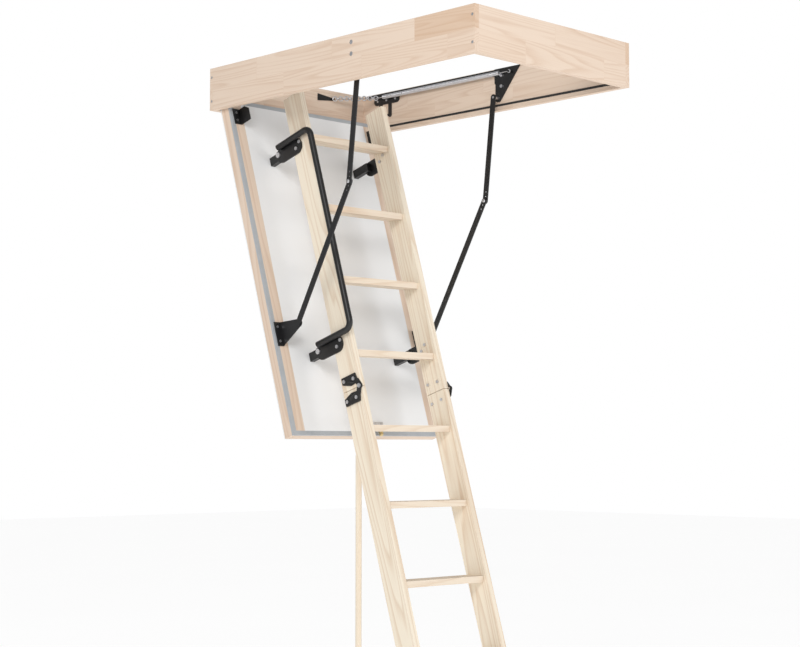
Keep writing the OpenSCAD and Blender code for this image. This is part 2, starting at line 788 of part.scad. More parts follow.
// ================= section hinges =================
inner_x = [stile_out, stile_out + hinge_t];
outer_x = [stile_out + hinge_t + layer_gap, stile_out + 2 * hinge_t + layer_gap];

// Outline of one hinge leaf above (up = 1) or below (up = -1) its pivot
module leaf_outline(seam, up, front) {
  function at(ds, dn) = sn([seam - up * ds, front ? pivot_12_n - dn : pivot_23_n + dn]);
  polygon([at(46, 76), at(46, 12), at(14, 4), at(11, 40), at(24, 76)]);
}

module eye_arm(seam, up, front, reach) {
  function at(ds, dn) = sn([seam - up * ds, front ? pivot_12_n - dn : pivot_23_n + dn]);
  bar_outline(at(0, 0), at(reach, reach / 2), 2 * eye_r);
}

module leaf_holes(d, points) {
  for (p = points)
    bar_sn(d * (stile_out - drill), d * (outer_x[1] + drill), p, bolt_r + hole_fit);
}

module pivot_hole(d, p) {
  bar_sn(d * (stile_out - drill), d * (outer_x[1] + drill), p, hinge_pin_r + pin_fit);
}

// The leaf with its eye against the wood
module inner_leaf(seam, up, front, points) {
  p = [seam, front ? pivot_12_n : pivot_23_n];
  color("black") on_hatch() for (d = [-1, 1]) difference() {
    sheet(d * inner_x[0], d * inner_x[1]) {
      leaf_outline(seam, up, front);
      eye_arm(seam, up, front, 18);
    }
    leaf_holes(d, points);
    pivot_hole(d, p);
  }
}

// The leaf whose eye is stepped out over the other one
module outer_leaf(seam, up, front, points) {
  p = [seam, front ? pivot_12_n : pivot_23_n];
  color("black") on_hatch() for (d = [-1, 1]) difference() {
    union() {
      sheet(d * inner_x[0], d * outer_x[1]) leaf_outline(seam, up, front);
      sheet(d * outer_x[0], d * outer_x[1]) eye_arm(seam, up, front, 18);
    }
    leaf_holes(d, points);
    pivot_hole(d, p);
  }
}

module carriage_bolt(d, p, outside) {
  head_h = 2.5;
  nut_h = 4;
  bar_sn(d * outside, d * (stile_in - nut_h), p, bolt_r);
  bar_sn(d * outside, d * (outside + head_h), p, bolt_r + 3);
  bar_sn(d * stile_in, d * (stile_in - nut_h), p, bolt_r + 2);
}

// The pin is riveted in the inner leaf's eye and carries the outer one
module section_pin(d, p) {
  bar_sn(d * stile_out, d * (outer_x[1] + layer_gap + 2.5), p, hinge_pin_r);
  bar_sn(d * (outer_x[1] + layer_gap), d * (outer_x[1] + layer_gap + 2.5), p, hinge_pin_r + 3);
}

module section_1_hinges() { inner_leaf(seam_12, 1, true, bolts_1); }
module section_2_hinges_top() { outer_leaf(seam_12, -1, true, bolts_2_top); }
module section_2_hinges_bottom() { inner_leaf(seam_23, 1, false, bolts_2_bottom); }
module section_3_hinges() { outer_leaf(seam_23, -1, false, bolts_3); }

module section_1_bolts() {
  color("silver") on_hatch() for (d = [-1, 1]) {
    for (p = bolts_1) carriage_bolt(d, p, inner_x[1]);
    section_pin(d, [seam_12, pivot_12_n]);
    for (p = bracket_screws) carriage_bolt(d, p, stile_out + bracket_t);
    for (p = bracket_bolts) {
      bar_sn(d * (stile_out - spacer_w + spacer_floor), d * (stile_out + bracket_t), p,
             bracket_bolt_r);
      bar_sn(d * (stile_out + bracket_t), d * (stile_out + bracket_t + 4), p, bracket_bolt_r + 4);
    }
  }
}

module section_2_bolts() {
  color("silver") on_hatch() for (d = [-1, 1]) {
    for (p = bolts_2_top) carriage_bolt(d, p, outer_x[1]);
    for (p = bolts_2_bottom) carriage_bolt(d, p, inner_x[1]);
    section_pin(d, [seam_23, pivot_23_n]);
  }
}

module section_3_bolts() {
  color("silver") on_hatch() for (d = [-1, 1])
    for (p = bolts_3) carriage_bolt(d, p, outer_x[1]);
}

// ================= ladder brackets and handrail =================
bracket_n = [88, 212];
bracket_half = 26;

module ladder_bracket(d, s) {
  bolt = [s + bracket_bolt_at[0], bracket_bolt_at[1]];
  difference() {
    sheet(d * stile_out, d * (stile_out + bracket_t)) {
      bar_outline(sn([s, bracket_n[0] + bracket_half]), sn([s, bracket_n[1] - bracket_half]),
                  2 * bracket_half);
      translate(sn(bolt)) circle(r = 14, $fn = 48);
    }
    bar_sn(d * (stile_out - drill), d * (stile_out + bracket_t + drill), bolt,
           bracket_bolt_r + hole_fit);
    for (p = bracket_screw_at)
      bar_sn(d * (stile_out - drill), d * (stile_out + bracket_t + drill), [s + p[0], p[1]],
             bolt_r + hole_fit);
  }
}

module ladder_brackets(side) {
  d = side_sign(side);
  color("black") on_hatch() for (s = bracket_s) ladder_bracket(d, s);
}

module ladder_brackets_left() { ladder_brackets("left"); }
module ladder_brackets_right() { ladder_brackets("right"); }

module ladder_spacers() {
  color("white") on_hatch() for (d = [-1, 1], s = bracket_s) difference() {
    block([d * (stile_out - spacer_w), d * stile_out], [face_n, spacer_end_n],
          [s - spacer_h / 2 - 4, s + spacer_h / 2 - 4]);
    bar_sn(d * (stile_out - spacer_w + spacer_floor - hole_fit), d * (stile_out + drill),
           [s + bracket_bolt_at[0], bracket_bolt_at[1]], bracket_bolt_r + hole_fit);
  }
}

rail_x = -(stile_out + bracket_t + rail_r);
rail_s = [bracket_s[0] - 26, bracket_s[1] - 24];
rail_end_n = 112;

// Path of the handrail swept with radius r, its ends run on by past
module rail_path(r, past) {
  top = rail_s[0];
  low = rail_s[1];
  for (s = [top, low])
    translate([rail_x, -(rail_front - bend_r), -s]) rotate([-90, 0, 0])
      cylinder(h = rail_front - bend_r - rail_end_n + past, r = r, $fn = 48);
  translate([rail_x, -rail_front, -(low - bend_r)])
    cylinder(h = low - top - 2 * bend_r, r = r, $fn = 48);
  translate([rail_x, -(rail_front - bend_r), -(top + bend_r)]) rotate([0, -90, 0])
    rotate([0, 0, -90]) rotate_extrude(angle = 90, $fn = 96) translate([bend_r, 0])
    circle(r = r, $fn = 48);
  translate([rail_x, -(rail_front - bend_r), -(low - bend_r)]) rotate([0, -90, 0])
    rotate([0, 0, 180]) rotate_extrude(angle = 90, $fn = 96) translate([bend_r, 0])
    circle(r = r, $fn = 48);
}

module handrail() {
  color("black") on_hatch() difference() {
    rail_path(rail_r, 0);
    rail_path(rail_r - rail_wall, drill);
  }
}

casing_side_left();
casing_side_right();
casing_end_hinge();
casing_end_free();
corner_screws();
casing_seal();
hinge_plate_left();
hinge_plate_right();
hatch_hinge_pins();
arm_bracket_left();
arm_bracket_right();
casing_bolts();
arm_pivot_pins();
spring_left();
spring_right();
spring_anchors();
spring_chains();
latch_keeper();
hatch_rail_left();
hatch_rail_right();
hatch_rail_top();
hatch_rail_bottom();
hatch_core();
hatch_room_skin();
hatch_attic_skin();
hatch_profile();
hatch_hinge_brackets();
hatch_arm_brackets();
hatch_screws();
latch_plate();
section_1_stile_left();
section_1_stile_right();
section_1_treads();
ladder_brackets_left();
ladder_brackets_right();
ladder_spacers();
handrail();
section_1_hinges();
section_1_bolts();
section_2_stile_left();
section_2_stile_right();
section_2_treads();
section_2_hinges_top();
section_2_hinges_bottom();
section_2_bolts();
section_3_stile_left();
section_3_stile_right();
section_3_treads();
section_3_hinges();
section_3_bolts();
feet();
upper_arm_left();
upper_arm_right();
lower_arm_left();
lower_arm_right();
latch_hook();
pole();
pole_hook();
pole_eye();
stiffeners();
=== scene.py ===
# %% [markdown]
# # A folding attic ladder
# The ladder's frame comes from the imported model, so every stile, tread and bracket is already in
# its true place. This lesson dresses those parts in pine, powder coat and zinc, and adds the pieces
# that are too fine for the frame: the wound springs, the domed rivets and the ribs of the hinges.

# %% Load the frame
import math
import bpy
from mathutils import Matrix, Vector


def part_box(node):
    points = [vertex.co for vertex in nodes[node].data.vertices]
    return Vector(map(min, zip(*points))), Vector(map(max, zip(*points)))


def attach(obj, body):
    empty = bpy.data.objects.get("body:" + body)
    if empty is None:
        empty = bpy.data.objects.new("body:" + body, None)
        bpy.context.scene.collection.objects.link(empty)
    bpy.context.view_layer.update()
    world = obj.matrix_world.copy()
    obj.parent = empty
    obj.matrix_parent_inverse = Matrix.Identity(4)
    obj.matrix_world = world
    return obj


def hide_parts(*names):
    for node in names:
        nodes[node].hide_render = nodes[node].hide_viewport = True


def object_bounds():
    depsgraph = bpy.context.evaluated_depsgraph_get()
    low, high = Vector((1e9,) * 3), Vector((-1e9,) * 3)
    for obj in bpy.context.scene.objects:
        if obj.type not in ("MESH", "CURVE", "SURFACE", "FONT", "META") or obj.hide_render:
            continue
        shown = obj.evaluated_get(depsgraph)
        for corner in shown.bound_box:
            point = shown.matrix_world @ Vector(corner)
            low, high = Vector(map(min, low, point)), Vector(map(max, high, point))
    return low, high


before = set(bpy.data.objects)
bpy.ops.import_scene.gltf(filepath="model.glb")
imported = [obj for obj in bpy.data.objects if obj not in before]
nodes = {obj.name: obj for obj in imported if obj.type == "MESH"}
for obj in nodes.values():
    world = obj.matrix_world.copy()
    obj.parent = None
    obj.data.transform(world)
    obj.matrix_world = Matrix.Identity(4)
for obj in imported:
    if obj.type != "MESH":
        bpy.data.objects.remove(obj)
cad_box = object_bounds()
LEAN = math.radians(17)
MM = 0.001


# %% [markdown]
# ## Small helpers for shader nodes
# Every finish is built from nodes, so a few short helpers keep the recipes readable. One makes an
# empty material with a Principled shader, one adds a node, and one adds a maths step.

# %% Node helpers
def new_finish(name, roughness=0.5, metallic=0.0):
    material = bpy.data.materials.new(name)
    material.use_nodes = True
    shader = material.node_tree.nodes["Principled BSDF"]
    shader.inputs["Roughness"].default_value = roughness
    shader.inputs["Metallic"].default_value = metallic
    return material, material.node_tree, shader


def add(tree, kind, **values):
    made = tree.nodes.new(kind)
    for key, value in values.items():
        setattr(made, key, value)
    return made


def maths(tree, operation, first, second=0.0):
    step = add(tree, "ShaderNodeMath", operation=operation)
    for socket, value in zip(step.inputs, (first, second)):
        if isinstance(value, (int, float)):
            socket.default_value = value
        else:
            tree.links.new(value, socket)
    return step.outputs[0]


def noise(tree, vector, scale, detail=2.0):
    made = add(tree, "ShaderNodeTexNoise")
    made.inputs["Scale"].default_value = scale
    made.inputs["Detail"].default_value = detail
    tree.links.new(vector, made.inputs["Vector"])
    return made.outputs["Fac"]


def stretch(tree, vector, scale):
    made = add(tree, "ShaderNodeMapping")
    made.inputs["Scale"].default_value = scale
    tree.links.new(vector, made.inputs["Vector"])
    return made.outputs["Vector"]


def mix_colour(tree, factor, first, second):
    made = add(tree, "ShaderNodeMix", data_type="RGBA")
    for socket, value in ((made.inputs[0], factor), (made.inputs[6], first), (made.inputs[7], second)):
        if isinstance(value, (int, float, tuple)):
            socket.default_value = value
        else:
            tree.links.new(value, socket)
    return made.outputs[2]


print("helpers ready")


# %% [markdown]
# ## The figure of pine
# Planed pine shows its year rings as long arches: soft pale early wood that darkens to a thin
# amber line. Slices through a stretched noise field give just such contour lines, so the group
# takes the noise, keeps its fraction, and lets a ramp draw the sharp edge of the late wood.

# %% Pine group
ARCH_STRETCH = 0.055
ARCH_SIZE = 9.0
FIBRE_STRETCH = 0.02
FIBRE_SIZE = 420.0
TONE_STRETCH = 0.3
TONE_SIZE = 4.0
RING_SHARE = 0.42
FIBRE_SHARE = 0.55
TONE_SHARE = 0.9


def make_pine_group():
    group = bpy.data.node_groups.new("pine_figure", "ShaderNodeTree")
    sides = (("Vector", "INPUT", "NodeSocketVector"), ("Pale", "INPUT", "NodeSocketColor"),
             ("Amber", "INPUT", "NodeSocketColor"), ("Rings", "INPUT", "NodeSocketFloat"),
             ("Colour", "OUTPUT", "NodeSocketColor"), ("Height", "OUTPUT", "NodeSocketFloat"),
             ("Roughness", "OUTPUT", "NodeSocketFloat"))
    for name, way, kind in sides:
        group.interface.new_socket(name=name, in_out=way, socket_type=kind)
    start = add(group, "NodeGroupInput")
    end = add(group, "NodeGroupOutput")
    vector = start.outputs["Vector"]
    field = noise(group, stretch(group, vector, (1.0, 1.0, ARCH_STRETCH)), ARCH_SIZE, 1.5)
    rings = maths(group, "FRACT", maths(group, "MULTIPLY", field, start.outputs["Rings"]))
    ramp = add(group, "ShaderNodeValToRGB")
    ramp.color_ramp.elements[0].color = (0, 0, 0, 1)
    ramp.color_ramp.elements[1].color = (0.05, 0.05, 0.05, 1)
    late = ramp.color_ramp.elements.new(0.86)
    late.color = (1, 1, 1, 1)
    early = ramp.color_ramp.elements.new(0.45)
    early.color = (0.18, 0.18, 0.18, 1)
    group.links.new(rings, ramp.inputs[0])
    fibre = noise(group, stretch(group, vector, (1.0, 1.0, FIBRE_STRETCH)), FIBRE_SIZE, 3.0)
    tone = noise(group, stretch(group, vector, (1.0, 1.0, TONE_STRETCH)), TONE_SIZE, 1.0)
    ring_part = maths(group, "MULTIPLY", ramp.outputs[0], RING_SHARE)
    fibre_part = maths(group, "MULTIPLY", maths(group, "SUBTRACT", fibre, 0.5), FIBRE_SHARE)
    tone_part = maths(group, "MULTIPLY", maths(group, "SUBTRACT", tone, 0.5), TONE_SHARE)
    factor = maths(group, "ADD", maths(group, "ADD", ring_part, fibre_part), tone_part)
    colour = mix_colour(group, factor, start.outputs["Pale"], start.outputs["Amber"])
    group.links.new(colour, end.inputs["Colour"])
    group.links.new(maths(group, "ADD", fibre, maths(group, "MULTIPLY", ring_part, 0.6)),
                    end.inputs["Height"])
    group.links.new(maths(group, "ADD", 0.5, maths(group, "MULTIPLY", fibre, 0.2)),
                    end.inputs["Roughness"])
    return group


PINE = make_pine_group()
print("group:", PINE.name)


# %% [markdown]
# ## Lengths and finger joints
# The casing boards are glued up from short lengths of pine. A brick pattern laid along the board
# shifts the grain and the tone from one length to the next, and its thin mortar line is the glue
# joint. Stiles, treads and hatch rails are made of single pieces and leave it out.

# %% Pine finishes
ALONG = {"X": ("Z", "Y", "X"), "Y": ("Z", "X", "Y"), "Z": ("X", "Y", "Z")}
LENGTH_OF_WOOD = 0.36
HEIGHT_OF_STRIP = 0.07
GLUE_LINE = 0.0006
GRAIN_SHIFT = 7.0
WARM_LENGTH = (0.50, 0.28, 0.13, 1)


def make_pine(name, along, pale, amber, lean=0.0, lengths=False, rings=11.0):
    material, tree, shader = new_finish(name)
    place = add(tree, "ShaderNodeTexCoord")
    turn = add(tree, "ShaderNodeMapping")
    turn.inputs["Rotation"].default_value = (lean, 0, 0)
    tree.links.new(place.outputs["Object"], turn.inputs["Vector"])
    parts = add(tree, "ShaderNodeSeparateXYZ")
    tree.links.new(turn.outputs["Vector"], parts.inputs[0])
    order = add(tree, "ShaderNodeCombineXYZ")
    for slot, axis in enumerate(ALONG[along]):
        tree.links.new(parts.outputs[axis], order.inputs[slot])
    vector = order.outputs[0]
    if lengths:
        board = add(tree, "ShaderNodeCombineXYZ")
        tree.links.new(parts.outputs[along], board.inputs[0])
        tree.links.new(parts.outputs["Z"], board.inputs[1])
        brick = add(tree, "ShaderNodeTexBrick", offset=0.37)
        brick.inputs["Color1"].default_value = (0, 0, 0, 1)
        brick.inputs["Color2"].default_value = (1, 1, 1, 1)
        brick.inputs["Mortar"].default_value = (0.6, 0.6, 0.6, 1)
        brick.inputs["Scale"].default_value = 1.0
        brick.inputs["Mortar Size"].default_value = GLUE_LINE
        brick.inputs["Brick Width"].default_value = LENGTH_OF_WOOD
        brick.inputs["Row Height"].default_value = HEIGHT_OF_STRIP
        tree.links.new(board.outputs[0], brick.inputs["Vector"])
        tint = brick.outputs["Color"]
        shift = add(tree, "ShaderNodeVectorMath", operation="ADD")
        tree.links.new(vector, shift.inputs[0])
        tree.links.new(maths(tree, "MULTIPLY", tint, GRAIN_SHIFT), shift.inputs[1])
        vector = shift.outputs[0]
    figure = add(tree, "ShaderNodeGroup", node_tree=PINE)
    figure.inputs["Pale"].default_value = (*pale, 1)
    figure.inputs["Amber"].default_value = (*amber, 1)
    figure.inputs["Rings"].default_value = rings
    tree.links.new(vector, figure.inputs["Vector"])
    colour = figure.outputs["Colour"]
    if lengths:
        warm = maths(tree, "MULTIPLY", maths(tree, "POWER", tint, 3.0), 0.5)
        colour = mix_colour(tree, warm, colour, WARM_LENGTH)
    tree.links.new(colour, shader.inputs["Base Color"])
    tree.links.new(figure.outputs["Roughness"], shader.inputs["Roughness"])
    bump = add(tree, "ShaderNodeBump")
    bump.inputs["Strength"].default_value = 0.25
    bump.inputs["Distance"].default_value = 0.0004
    tree.links.new(figure.outputs["Height"], bump.inputs["Height"])
    tree.links.new(bump.outputs["Normal"], shader.inputs["Normal"])
    return material


PALE = (0.74, 0.60, 0.485)
AMBER = (0.56, 0.38, 0.26)
CREAM = (0.86, 0.77, 0.63)
HONEY = (0.78, 0.67, 0.54)
STRAW = (0.58, 0.39, 0.24)
FINISH = {
    "side_board": make_pine("pine_side_board", "Y", PALE, AMBER, lengths=True, rings=26.0),
    "end_board": make_pine("pine_end_board", "X", PALE, AMBER, lengths=True, rings=26.0),
    "stile": make_pine("pine_stile", "Z", CREAM, STRAW, lean=LEAN, rings=20.0),
    "tread": make_pine("pine_tread", "X", HONEY, STRAW, rings=20.0),
    "hatch_side": make_pine("pine_hatch_side", "Z", PALE, AMBER, lean=LEAN, rings=18.0),
    "hatch_end": make_pine("pine_hatch_end", "X", PALE, AMBER, lean=LEAN, rings=18.0),
    "pole": make_pine("pine_pole", "Z", CREAM, STRAW, rings=6.0),
}
print("pine finishes:", len(FINISH))


# %% [markdown]
# ## Coated, plated and moulded finishes
# Powder coat has a fine orange-peel skin. Zinc plating is cloudy. The hatch skins are smooth
# painted board with faint marks. One recipe serves them all: a cloudy
# noise that varies the colour and the roughness, and a fine noise that feeds the bump.

# %% Cloudy finishes
def make_cloud_group():
    group = bpy.data.node_groups.new("cloud_and_peel", "ShaderNodeTree")
    for name, way, kind in (("Cloud size", "INPUT", "NodeSocketFloat"),
                            ("Peel size", "INPUT", "NodeSocketFloat"),
                            ("Cloud", "OUTPUT", "NodeSocketFloat"),
                            ("Peel", "OUTPUT", "NodeSocketFloat")):
        group.interface.new_socket(name=name, in_out=way, socket_type=kind)
    start = add(group, "NodeGroupInput")
    end = add(group, "NodeGroupOutput")
    place = add(group, "ShaderNodeTexCoord")
    for size, out in (("Cloud size", "Cloud"), ("Peel size", "Peel")):
        field = add(group, "ShaderNodeTexNoise")
        field.inputs["Detail"].default_value = 4.0
        group.links.new(place.outputs["Object"], field.inputs["Vector"])
        group.links.new(start.outputs[size], field.inputs["Scale"])
        group.links.new(field.outputs["Fac"], end.inputs[out])
    return group


CLOUD = make_cloud_group()


def make_cloudy(name, dark, light, roughness, metallic=0.0, cloud=25.0, peel=900.0, bump_by=0.15):
    material, tree, shader = new_finish(name, metallic=metallic)
    figure = add(tree, "ShaderNodeGroup", node_tree=CLOUD)
    figure.inputs["Cloud size"].default_value = cloud
    figure.inputs["Peel size"].default_value = peel
    colour = mix_colour(tree, figure.outputs["Cloud"], (*dark, 1), (*light, 1))
    tree.links.new(colour, shader.inputs["Base Color"])
    spread = maths(tree, "MULTIPLY", figure.outputs["Cloud"], roughness[1] - roughness[0])
    tree.links.new(maths(tree, "ADD", spread, roughness[0]), shader.inputs["Roughness"])
    bump = add(tree, "ShaderNodeBump")
    bump.inputs["Strength"].default_value = bump_by
    bump.inputs["Distance"].default_value = 0.0003
    tree.links.new(figure.outputs["Peel"], bump.inputs["Height"])
    tree.links.new(bump.outputs["Normal"], shader.inputs["Normal"])
    return material


FINISH["black"] = make_cloudy("black_powder_coat", (0.004, 0.004, 0.004), (0.011, 0.011, 0.012),
                              (0.32, 0.5))
FINISH["zinc"] = make_cloudy("zinc_plate", (0.50, 0.50, 0.52), (0.78, 0.78, 0.80), (0.2, 0.45),
                             metallic=1.0, cloud=120.0)
FINISH["white"] = make_cloudy("painted_board", (0.80, 0.81, 0.82), (0.86, 0.86, 0.86), (0.3, 0.5),
                              cloud=5.0, peel=500.0, bump_by=0.05)
FINISH["grey"] = make_cloudy("edge_profile", (0.34, 0.36, 0.38), (0.46, 0.48, 0.50), (0.4, 0.6))
FINISH["rubber"] = make_cloudy("rubber", (0.010, 0.010, 0.010), (0.028, 0.028, 0.028), (0.6, 0.85),
                               peel=1500.0, bump_by=0.35)
FINISH["foam"] = make_cloudy("foam_core", (0.70, 0.70, 0.66), (0.85, 0.85, 0.82), (0.7, 0.9),
                             peel=300.0, bump_by=0.6)
FINISH["brass"] = make_cloudy("latch_brass", (0.55, 0.42, 0.20), (0.75, 0.60, 0.32), (0.2, 0.4),
                              metallic=1.0, cloud=90.0)
print("finishes:", len(FINISH))


# %% [markdown]
# ## Dress the frame
# A node's name says what it is made of, so a short list of name beginnings and finishes covers all
# of them. The first match wins, and whatever is left over is black powder-coated steel.

# %% Give each node its finish
WEAR = (("casing_side", "side_board"), ("casing_end", "end_board"), ("casing_seal", "rubber"),
        ("casing_bolts", "zinc"), ("corner_screws", "zinc"), ("hatch_hinge_pins", "zinc"),
        ("arm_pivot_pins", "zinc"), ("hatch_rail_left", "hatch_side"),
        ("hatch_rail_right", "hatch_side"), ("hatch_rail", "hatch_end"), ("hatch_core", "foam"),
        ("hatch_room_skin", "white"), ("hatch_attic_skin", "white"), ("hatch_profile", "grey"),
        ("hatch_screws", "zinc"), ("spring_anchors", "black"), ("spring", "zinc"),
        ("latch_hook", "brass"), ("latch", "zinc"), ("ladder_spacers", "black"),
        ("feet", "rubber"), ("pole_", "zinc"), ("pole", "pole"))


def finish_of(name):
    if "_stile_" in name:
        return "stile"
    if name.endswith("_treads"):
        return "tread"
    if name.endswith("_bolts"):
        return "zinc"
    for start, finish in WEAR:
        if name.startswith(start):
            return finish
    return "black"


for name, node in nodes.items():
    for slot in node.material_slots:
        slot.material = FINISH[finish_of(name)]
print("dressed", len(nodes), "nodes")


# %% [markdown]
# ## Eased edges
# A planed board never has a razor edge. The treads and the hatch rails get a narrow bevel as a
# modifier, which leaves their own mesh alone and catches a thin line of light.

# %% Ease the treads and boards
EASED = [name for name in nodes if name.endswith("_treads") or name.startswith("hatch_rail")]
for name in EASED:
    edge = nodes[name].modifiers.new("eased_edge", "BEVEL")
    edge.width = 1.6 * MM
    edge.segments = 3
    edge.limit_method = "ANGLE"
    edge.angle_limit = math.radians(50)
print("eased:", len(EASED))


# %% [markdown]
# ## The wound springs
# Each spring is a close coil of round wire. A small circle of wire is swept round the spring's
# axis by the Screw modifier, once for every turn, and the modifier is applied so that the piece is
# plain mesh. The frame's spring stands in for it in the tests, and is hidden here.

# %% Clean start for operators
def deselect():
    if bpy.context.object and bpy.context.object.mode != "OBJECT":
        bpy.ops.object.mode_set(mode="OBJECT")
    bpy.ops.object.select_all(action="DESELECT")


def settle(piece):
    """Bakes the piece's place into its mesh, so that it sits at the origin."""
    bpy.ops.object.transform_apply(location=True, rotation=True, scale=True)
    return piece


# %% [markdown]
# ## From rod to coil
# The coil takes its axis and its ends from the frame's spring. Two straight rods and two rings,
# one round the stud and one for the chain, are joined to it, so each spring stays a single piece.

# %% Wind a spring
WIRE = 1.5 * MM
PITCH = 3.3 * MM
COIL_STEPS = 20
COIL_FROM_HOOK = 50 * MM
COIL_FROM_EYE = 34 * MM
ROD_FROM_HOOK = 14 * MM
ROD_FROM_EYE = 13 * MM
ROD_IN_COIL = 2 * MM
HOOK_CENTRE = 8 * MM
HOOK_RADIUS = 5 * MM
EYE_CENTRE = 7.6 * MM
EYE_RADIUS = 6 * MM


def wire_rod(name, start, end, radius, sides=12):
    """A straight length of round wire along Y."""
    deselect()
    bpy.ops.mesh.primitive_cylinder_add(vertices=sides, radius=radius, depth=end[1] - start[1],
                                        location=((start[0] + end[0]) / 2,
                                                  (start[1] + end[1]) / 2,
                                                  (start[2] + end[2]) / 2),
                                        rotation=(math.pi / 2, 0, 0))
    rod = bpy.context.object
    rod.name = name
    return settle(rod)


def wind_spring(side):
    low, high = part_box("spring_" + side)
    axis_x = (low[0] + high[0]) / 2
    axis_z = (low[2] + high[2]) / 2
    reach = (high[2] - low[2]) / 2 - WIRE
    coil_start = low[1] + COIL_FROM_HOOK
    coil_end = high[1] - COIL_FROM_EYE
    turns = int((coil_end - coil_start) / PITCH)
    deselect()
    bpy.ops.mesh.primitive_circle_add(vertices=8, radius=WIRE, location=(reach, 0, 0),
                                      rotation=(math.pi / 2, 0, 0))
    coil = bpy.context.object
    coil.name = "spring_coil_" + side
    settle(coil)
    screw = coil.modifiers.new("wind", "SCREW")
    screw.axis = "Z"
    screw.angle = math.tau
    screw.screw_offset = (coil_end - coil_start) / turns
    screw.iterations = turns
    screw.steps = COIL_STEPS
    screw.render_steps = COIL_STEPS
    bpy.ops.object.modifier_apply(modifier=screw.name)
    coil.rotation_euler = (-math.pi / 2, 0, 0)
    coil.location = (axis_x, coil_start, axis_z)
    settle(coil)
    rods = [wire_rod("hook_wire", (axis_x, low[1] + ROD_FROM_HOOK, axis_z),
                     (axis_x, coil_start + ROD_IN_COIL, axis_z), WIRE),
            wire_rod("eye_wire", (axis_x, coil_end - ROD_IN_COIL, axis_z),
                     (axis_x, high[1] - ROD_FROM_EYE, axis_z), WIRE)]
    rings = ((low[1] + HOOK_CENTRE, HOOK_RADIUS, (0, math.pi / 2, 0)),
             (high[1] - EYE_CENTRE, EYE_RADIUS, (0, 0, 0)))
    for y, radius, turn in rings:
        deselect()
        bpy.ops.mesh.primitive_torus_add(major_radius=radius, minor_radius=WIRE,
                                         major_segments=36, minor_segments=12,
                                         location=(axis_x, y, axis_z), rotation=turn)
        rods.append(settle(bpy.context.object))
    deselect()
    for piece in rods + [coil]:
        piece.select_set(True)
    bpy.context.view_layer.objects.active = coil
    bpy.ops.object.join()
    bpy.ops.object.shade_smooth_by_angle(angle=math.radians(50))
    coil.data.materials.clear()
    coil.data.materials.append(FINISH["zinc"])
    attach(coil, "casing")
    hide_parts("spring_" + side)
    print(coil.name, "turns", turns)


for side in ("left", "right"):
    wind_spring(side)


# %% [markdown]
# ## Rivets at the elbows
# A rivet has a low domed head. A sphere is flattened in edit mode and cut in half by a bisect, so
# that only the dome stands on the bar. One is modelled and the rest are copies with their own mesh.

# %% Domed rivet heads
def make_dome(name, radius, height):
    deselect()
    bpy.ops.mesh.primitive_uv_sphere_add(segments=28, ring_count=14, radius=radius,
                                         rotation=(0, math.pi / 2, 0))
    dome = bpy.context.object
    dome.name = name
    settle(dome)
    bpy.ops.object.mode_set(mode="EDIT")
    bpy.ops.mesh.select_all(action="SELECT")
    bpy.ops.transform.resize(value=(height / radius, 1, 1), center_override=(0, 0, 0))
    bpy.ops.mesh.bisect(plane_co=(0, 0, 0), plane_no=(1, 0, 0), clear_inner=True, use_fill=True)
    bpy.ops.object.mode_set(mode="OBJECT")
    bpy.ops.object.shade_smooth_by_angle(angle=math.radians(45))
    dome.data.materials.append(FINISH["zinc"])
    return dome


def seat_dome(dome, name, place, facing, body):
    """Copies the dome to a place, turned so that its crown faces +X or -X."""
    copy = dome.copy()
    copy.data = dome.data.copy()
    copy.name = name
    bpy.context.collection.objects.link(copy)
    deselect()
    copy.select_set(True)
    bpy.context.view_layer.objects.active = copy
    copy.rotation_euler = (0, 0, 0 if facing > 0 else math.pi)
    copy.location = place
    settle(copy)
    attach(copy, body)


RIVET_RADIUS = 6.0 * MM
RIVET_HEIGHT = 2.2 * MM
HALF_BAR = 10 * MM
RIVET = make_dome("rivet_pattern", RIVET_RADIUS, RIVET_HEIGHT)
for side, out in (("left", -1), ("right", 1)):
    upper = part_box("upper_arm_" + side)
    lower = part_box("lower_arm_" + side)
    elbow_y = lower[0][1] + HALF_BAR
    elbow_z = upper[0][2] + HALF_BAR
    outer_face = upper[1][0] if out > 0 else upper[0][0]
    inner_face = lower[0][0] if out > 0 else lower[1][0]
    seat_dome(RIVET, "elbow_rivet_outer_" + side, (outer_face, elbow_y, elbow_z), out,
              "upper_arm_" + side)
    seat_dome(RIVET, "elbow_rivet_inner_" + side, (inner_face, elbow_y, elbow_z), -out,
              "lower_arm_" + side)
    print("elbow", side, round(elbow_y, 4), round(elbow_z, 4))
bpy.data.objects.remove(RIVET)


# %% [markdown]
# ## Pressed ribs on the section hinges
# Each hinge leaf is stamped sheet with a raised ridge that stiffens it. The ridge starts as a thin
# block on the leaf. Its outer face is picked and narrowed to a crest in edit mode, and a small
# bevel then rounds its edges as a press would.

# %% Raise a rib on each leaf
ROOM_FACE_Y = 570.66 * MM
SEAM_S = 1036.8 * MM
PIVOT_N = 247.0 * MM
RIB_SIZE = (2.2 * MM, 36 * MM, 6 * MM)
RIB_TILT = math.radians(23)
RIB_FROM_SEAM = 24 * MM
RIB_FROM_PIVOT = 37 * MM
RIB_STANDS = 0.9 * MM
CREST = (1, 0.8, 0.25)


def on_slope(along, out):
    """Y and Z of a point given by its distance down the slope and out from the hatch."""
    return (ROOM_FACE_Y - along * math.sin(LEAN) - out * math.cos(LEAN),
            -along * math.cos(LEAN) + out * math.sin(LEAN))


